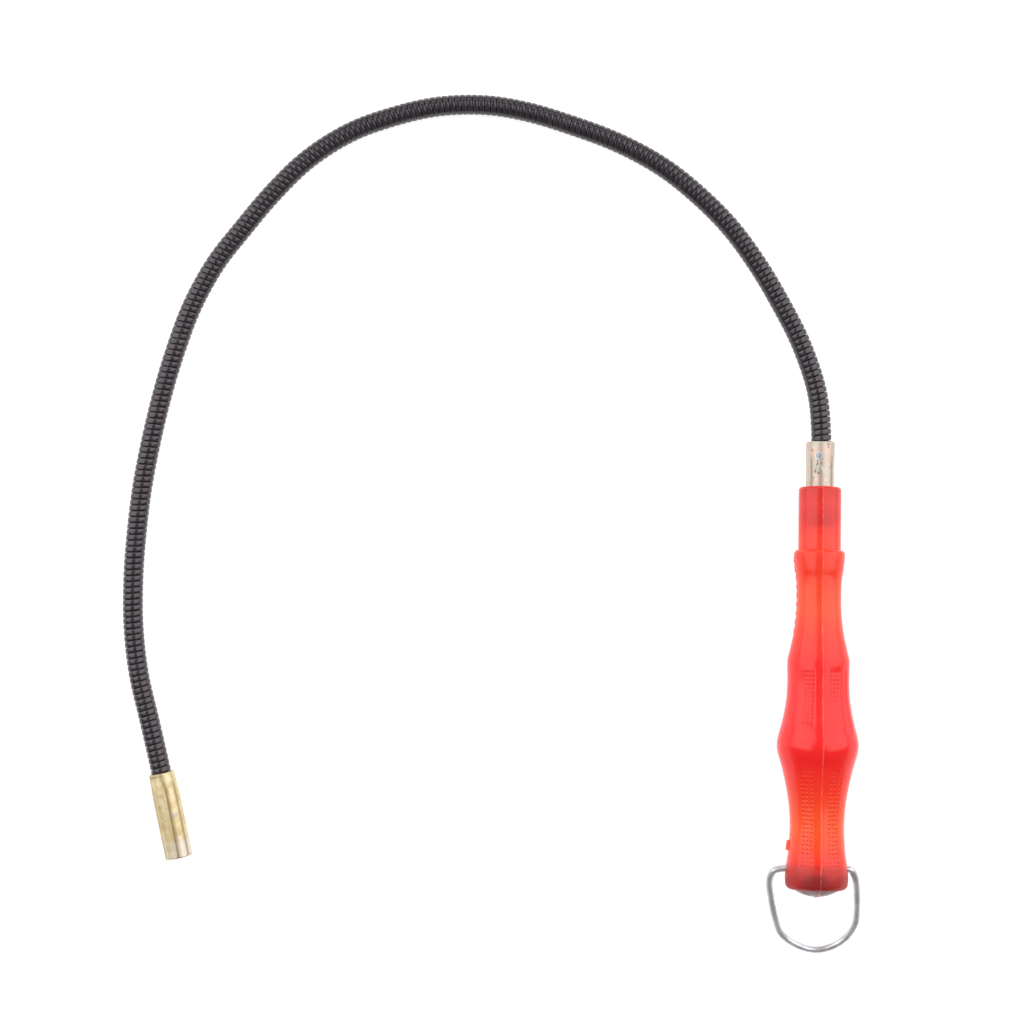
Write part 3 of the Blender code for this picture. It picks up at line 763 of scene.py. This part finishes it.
# ---------------------------------------------------------------- the handle
FINE_X = 6.2 * MM                   # half the width of the finely meshed strips, top and bottom
FINE_COLUMNS = 66
SIDE_COLUMNS = 34
DOT_PITCH = 1.23 * MM
DOT_OFFSETS = (2.60 * MM, 3.75 * MM, 4.86 * MM)
DOT_RADIUS = 0.42 * MM
DOT_DEPTH = 0.14 * MM
UPPER_DOTS = (7.1 * MM, 13, 9.35 * MM)      # lowest row, rows, grip radius where DOT_OFFSETS hold
LOWER_DOTS = (-35.6 * MM, 24, 8.20 * MM)
DOT_STEPS = 6                       # mesh rows to a row of dots
PARTING_X = 0.15 * MM
# Finger panels either side of the parting line: first and last angle from the top towards +X in
# degrees, lower end, upper end and the lengths of the slopes at both ends in mm
PANELS = [(-47.0, -11.7, 4.6, 24.2, 3.2, 6.0), (13.7, 58.7, 3.6, 24.0, 1.4, 2.2)]
PANEL_DEPTH = 0.24 * MM
PANEL_SIDE_SLOPE = 4.0              # degrees
PARTING_RIDGE = (0.06 * MM, 0.13 * MM)      # height and half width
GATE_NIB = (-31.5 * MM, -28.3 * MM)         # where the moulding gate was broken off, on the -X side
GATE_NIB_HEIGHT = 0.8 * MM
GATE_NIB_HALF_WIDTH = 0.45 * MM
GATE_NIB_SLOPE = 0.2 * MM
FLASH = (33.0 * MM, 57.0 * MM)              # ragged moulding flash, on the -X side
FLASH_SIZE = (0.35 * MM, 0.3 * MM)          # height and half width
SHOULDER_DRIP = 57.0 * MM                   # a drop of flash on the parting line, on top only
SHOULDER_DRIP_SIZE = (0.16 * MM, 0.45 * MM, 0.9 * MM)   # height, half width, half length
POCKET_CLEARANCE = (0.15 * MM, 0.12 * MM)   # between the cap and its pocket, along and round it
BORE_RADIUS = 4.42 * MM                     # for the handle's ferrule
BORE_BEYOND_FERRULE = 0.3 * MM
COARSE_ROW = 0.6 * MM
WAIST_ROWS = 70                             # from the upper dots to the shoulder
COLLAR_ROWS = 26
EDGE_STEPS = 8
RING_END_TAPER = 0.85                       # the wire's ends are a little thinner
RING_SIDES = 28


def grip_rows():
    """Distances along the axis of the grip's rings: fine where the dots are."""
    rows = []
    start = GRIP_OUTLINE[0][0]
    for first, count, _ in (LOWER_DOTS, UPPER_DOTS):
        fine_start, fine_end = first - DOT_PITCH, first + count * DOT_PITCH
        coarse = max(2, round((fine_start - start) / COARSE_ROW))
        rows += list(np.linspace(start, fine_start, coarse, endpoint=False))
        rows += list(np.linspace(fine_start, fine_end, (count + 1) * DOT_STEPS, endpoint=False))
        start = fine_end
    rows += list(np.linspace(start, GRIP_OUTLINE[-1][0], WAIST_ROWS))
    return rows


def column_angles(radius):
    """Angles round a ring from +Z towards +X, evenly spaced across the fine strips and the sides."""
    across = np.linspace(-FINE_X, FINE_X, FINE_COLUMNS)
    top = np.arcsin(across / max(radius, FINE_X * 1.02))
    side = np.linspace(top[-1], np.pi - top[-1], SIDE_COLUMNS + 2)[1:-1]
    return np.concatenate([top, side, np.pi + top, np.pi + side])


def dot_share(along, x, radius):
    """1 in the middle of a dot, 0 outside all dots. The columns spread with the grip's radius."""
    share = np.zeros_like(x)
    for first, count, base_radius in (LOWER_DOTS, UPPER_DOTS):
        row = round((along - first) / DOT_PITCH)
        if 0 <= row < count:
            for offset in DOT_OFFSETS:
                away = np.hypot(np.abs(x) - offset * radius / base_radius,
                                along - first - row * DOT_PITCH)
                share += np.clip(1 - (away / DOT_RADIUS) ** 2, 0, None)
    return share


def dot_strength(along):
    """The lower dots are worn flatter than the upper ones."""
    return 1.0 if along > 0 else 0.85


def relief(along, angles, radius):
    """How far the moulded details stand out of the grip at one ring."""
    x, z = radius * np.sin(angles), radius * np.cos(angles)
    height = -DOT_DEPTH * dot_strength(along) * dot_share(along, x, radius)
    from_top = np.degrees(np.arctan2(x, np.abs(z)))
    for first, last, low, high, low_slope, high_slope in PANELS:
        inset = (smooth_step(along, low * MM, (low + low_slope) * MM)
                 * (1 - smooth_step(along, (high - high_slope) * MM, high * MM))
                 * smooth_step(from_top, first, first + PANEL_SIDE_SLOPE)
                 * (1 - smooth_step(from_top, last - PANEL_SIDE_SLOPE, last)))
        height -= PANEL_DEPTH * inset
    from_line = x - PARTING_X
    ridge, ridge_width = PARTING_RIDGE
    height += ridge * np.exp(-(from_line / ridge_width) ** 2)
    drip, drip_width, drip_length = SHOULDER_DRIP_SIZE
    height += (drip * np.exp(-(from_line / drip_width) ** 2)
               * math.exp(-((along - SHOULDER_DRIP) / drip_length) ** 2) * (z > 0))
    from_side = radius * (angles - 1.5 * np.pi)
    nib_start, nib_end = GATE_NIB
    nib = (smooth_step(along, nib_start, nib_start + GATE_NIB_SLOPE)
           * (1 - smooth_step(along, nib_end - GATE_NIB_SLOPE, nib_end)))
    height += GATE_NIB_HEIGHT * nib * (np.abs(from_side) < GATE_NIB_HALF_WIDTH)
    if FLASH[0] < along < FLASH[1]:
        flash, flash_width = FLASH_SIZE
        ragged = abs(math.sin(along / (0.31 * MM)) * math.sin(along / (0.83 * MM) + 1.0))
        height += flash * ragged * np.exp(-(from_side / flash_width) ** 2)
    return height


def cut_ring_hole(piece):
    """Drills the cross hole of the hanging ring."""
    reach = CAP_RADIUS * 2
    sides = 48
    angles = [2 * math.pi * i / sides for i in range(sides)]
    circle = [(RING_HOLE_RADIUS * math.cos(a), RING_HOLE_RADIUS * math.sin(a)) for a in angles]
    points = [(x, PIVOT + y, z) for x in (-reach, reach) for y, z in circle]
    faces = grid_faces(2, sides, False, True)
    faces += [tuple(range(sides)), tuple(range(sides, 2 * sides))]
    drill = mesh_piece("ring_hole_drill", points, faces, handle_matrix)
    cut = piece.modifiers.new("ring_hole", "BOOLEAN")
    cut.operation = "DIFFERENCE"
    cut.object = drill
    bpy.context.view_layer.update()
    evaluated = piece.evaluated_get(bpy.context.evaluated_depsgraph_get())
    piece.data = bpy.data.meshes.new_from_object(evaluated)
    piece.modifiers.clear()
    bpy.data.objects.remove(drill)


def cap_dome(steps, inner, lift=0.0):
    """(along, radius) points of the cap's domed face from its rim inwards, lifted off it."""
    sphere_radius = (CAP_RADIUS ** 2 + CAP_DOME_HEIGHT ** 2) / (2 * CAP_DOME_HEIGHT)
    sphere_centre = CAP_RIM - CAP_DOME_HEIGHT + sphere_radius
    return [(sphere_centre - math.sqrt(sphere_radius ** 2 - radius ** 2) - lift, radius)
            for radius in np.linspace(CAP_RADIUS, inner, steps)]


def flash_rib():
    """Points and faces of the strip of flash over the cap, from the grip's edge to its pin."""
    half_width, thickness, sunk, steps = 0.5 * MM, 0.16 * MM, 0.05 * MM, 24
    under = cap_dome(steps, CAP_PIN_RADIUS * 0.5, -sunk)
    over = cap_dome(steps, CAP_PIN_RADIUS * 0.5, thickness)
    points = []
    for i, ((low, low_radius), (high, high_radius)) in enumerate(zip(under, over)):
        wide = half_width * (1 + 0.15 * math.sin(1.9 * i))
        points += [(-wide, low, low_radius), (-0.8 * wide, high, high_radius),
                   (0.8 * wide, high, high_radius), (wide, low, low_radius)]
    faces = grid_faces(steps, 4, False, True)
    faces += [(0, 1, 2, 3), tuple(range(4 * steps - 4, 4 * steps))]
    return points, faces


def grip_outline():
    """(along, radius) points of the moulding: pin, pocket, butt, grip, shoulder, collar and bore."""
    dense = np.array([tuple(p) for p in smooth_points([(a, r, 0.0) for a, r in GRIP_OUTLINE], 24)])
    grip = [(along, float(np.interp(along, dense[:, 0], dense[:, 1]))) for along in grip_rows()]
    pocket_floor = CAP_INNER_FACE + POCKET_CLEARANCE[0]
    pocket_radius = CAP_RADIUS + POCKET_CLEARANCE[1]
    bore_end = HANDLE_FERRULE_MOUTH - FERRULE_LENGTH - BORE_BEYOND_FERRULE
    butt = edge_arc(BUTT_END, grip[0][1], BUTT_EDGE_RADIUS, -1, EDGE_STEPS)[1:]
    shoulder = edge_arc(SHOULDER_END, grip[-1][1], SHOULDER_EDGE_RADIUS, 1, EDGE_STEPS)[1:]
    collar_rows = np.linspace(SHOULDER_END, COLLAR_END - 1.2 * COLLAR_EDGE_RADIUS, COLLAR_ROWS)
    collar_side = [(along, COLLAR_RADIUS) for along in collar_rows]
    collar_edge = edge_arc(COLLAR_END, COLLAR_RADIUS, COLLAR_EDGE_RADIUS, 1, EDGE_STEPS)
    return [(CAP_PIN_END, CENTRE_RADIUS), (CAP_PIN_END, CAP_PIN_RADIUS * 0.8),
            (CAP_PIN_END + 0.2 * MM, CAP_PIN_RADIUS), (pocket_floor, CAP_PIN_RADIUS),
            (pocket_floor, pocket_radius), (BUTT_END, pocket_radius), *reversed(butt), *grip,
            *shoulder, *collar_side, *collar_edge, (COLLAR_END, BORE_RADIUS),
            (bore_end, BORE_RADIUS), (bore_end, CENTRE_RADIUS)]


def make_handle_grip():
    """The red moulding with its relief, its shaded dots and the ring's drilled hole."""
    outline = grip_outline()
    rows = []
    dots = []
    grip_start, grip_end = GRIP_OUTLINE[0][0], COLLAR_END - COLLAR_EDGE_RADIUS
    for along, radius in outline:
        angles = column_angles(radius)
        outside = grip_start <= along <= grip_end and radius > BORE_RADIUS + 1.0 * MM
        radii = radius + (relief(along, angles, radius) if outside else 0.0 * angles)
        hollow = dot_strength(along) * dot_share(along, radius * np.sin(angles), radius)
        dots.append(hollow if outside else 0.0 * angles)
        rows.append(np.stack([radii * np.sin(angles), np.full_like(angles, along),
                              radii * np.cos(angles)], axis=1))
    points = np.concatenate(rows)
    faces = grid_faces(len(outline), len(rows[0]), True, True)
    rib_points, rib_faces = flash_rib()
    faces += [tuple(corner + len(points) for corner in face) for face in rib_faces]
    points = np.concatenate([points, rib_points])
    dots.append(np.zeros(len(rib_points)))
    piece = mesh_piece("grip_moulding", points, faces, handle_matrix, 50.0)
    add_shade(piece, np.concatenate(dots))
    cut_ring_hole(piece)
    finish_piece(piece, red_plastic(), "handle", "red_plastic", "handle_grip")


def make_butt_cap():
    """The domed steel disc with the hole for the moulded pin."""
    outline = [(CAP_INNER_FACE, CAP_HOLE_RADIUS), (CAP_INNER_FACE, CAP_RADIUS),
               *cap_dome(20, CAP_HOLE_RADIUS)]
    piece = turned_piece("domed_cap", outline, 96, handle_matrix)
    steel = drawn_steel("cap_steel", (0.22, 0.14, 0.13), (0.13, 0.095, 0.085), 0.24, 0.36, 0.8)
    finish_piece(piece, steel, "handle", "cap_steel", "butt_cap")


def make_bail_ring():
    """One bent wire, with its two ends turned into the cross hole."""
    loop = smooth_points([(x, -away, 0.0) for x, away in RING_OUTLINE], 12)
    line = [Vector((-RING_TIP_X, 0.0, 0.0)), *loop, Vector((RING_TIP_X, 0.0, 0.0))]
    points = []
    for i, centre in enumerate(line):
        tangent = (line[min(i + 1, len(line) - 1)] - line[max(i - 1, 0)]).normalized()
        up = Vector((0.0, 0.0, 1.0))
        side = tangent.cross(up)
        radius = RING_WIRE_RADIUS * (RING_END_TAPER if i in (0, len(line) - 1) else 1.0)
        points += [centre + radius * (math.cos(a) * up + math.sin(a) * side)
                   for a in (2 * math.pi * j / RING_SIDES for j in range(RING_SIDES))]
    faces = grid_faces(len(line), RING_SIDES, False, True)
    last = (len(line) - 1) * RING_SIDES
    faces += [tuple(range(RING_SIDES)), tuple(range(last, last + RING_SIDES))]
    piece = mesh_piece("hanging_ring", points, faces, ring_matrix, 60.0)
    steel = drawn_steel("ring_steel", (0.69, 0.68, 0.71), (0.50, 0.49, 0.51), 0.28, 0.36, 0.66)
    finish_piece(piece, steel, "bail", "ring_steel", "bail_ring")


make_camera()
shaft_track, winding, spring = make_shaft()
tip_ferrule, magnet = make_tip()
[tuple(point) for point in shaft_track.line[::4]]
make_handle_ferrule()
make_handle_grip()
make_butt_cap()
make_bail_ring()
make_floor()
make_light()
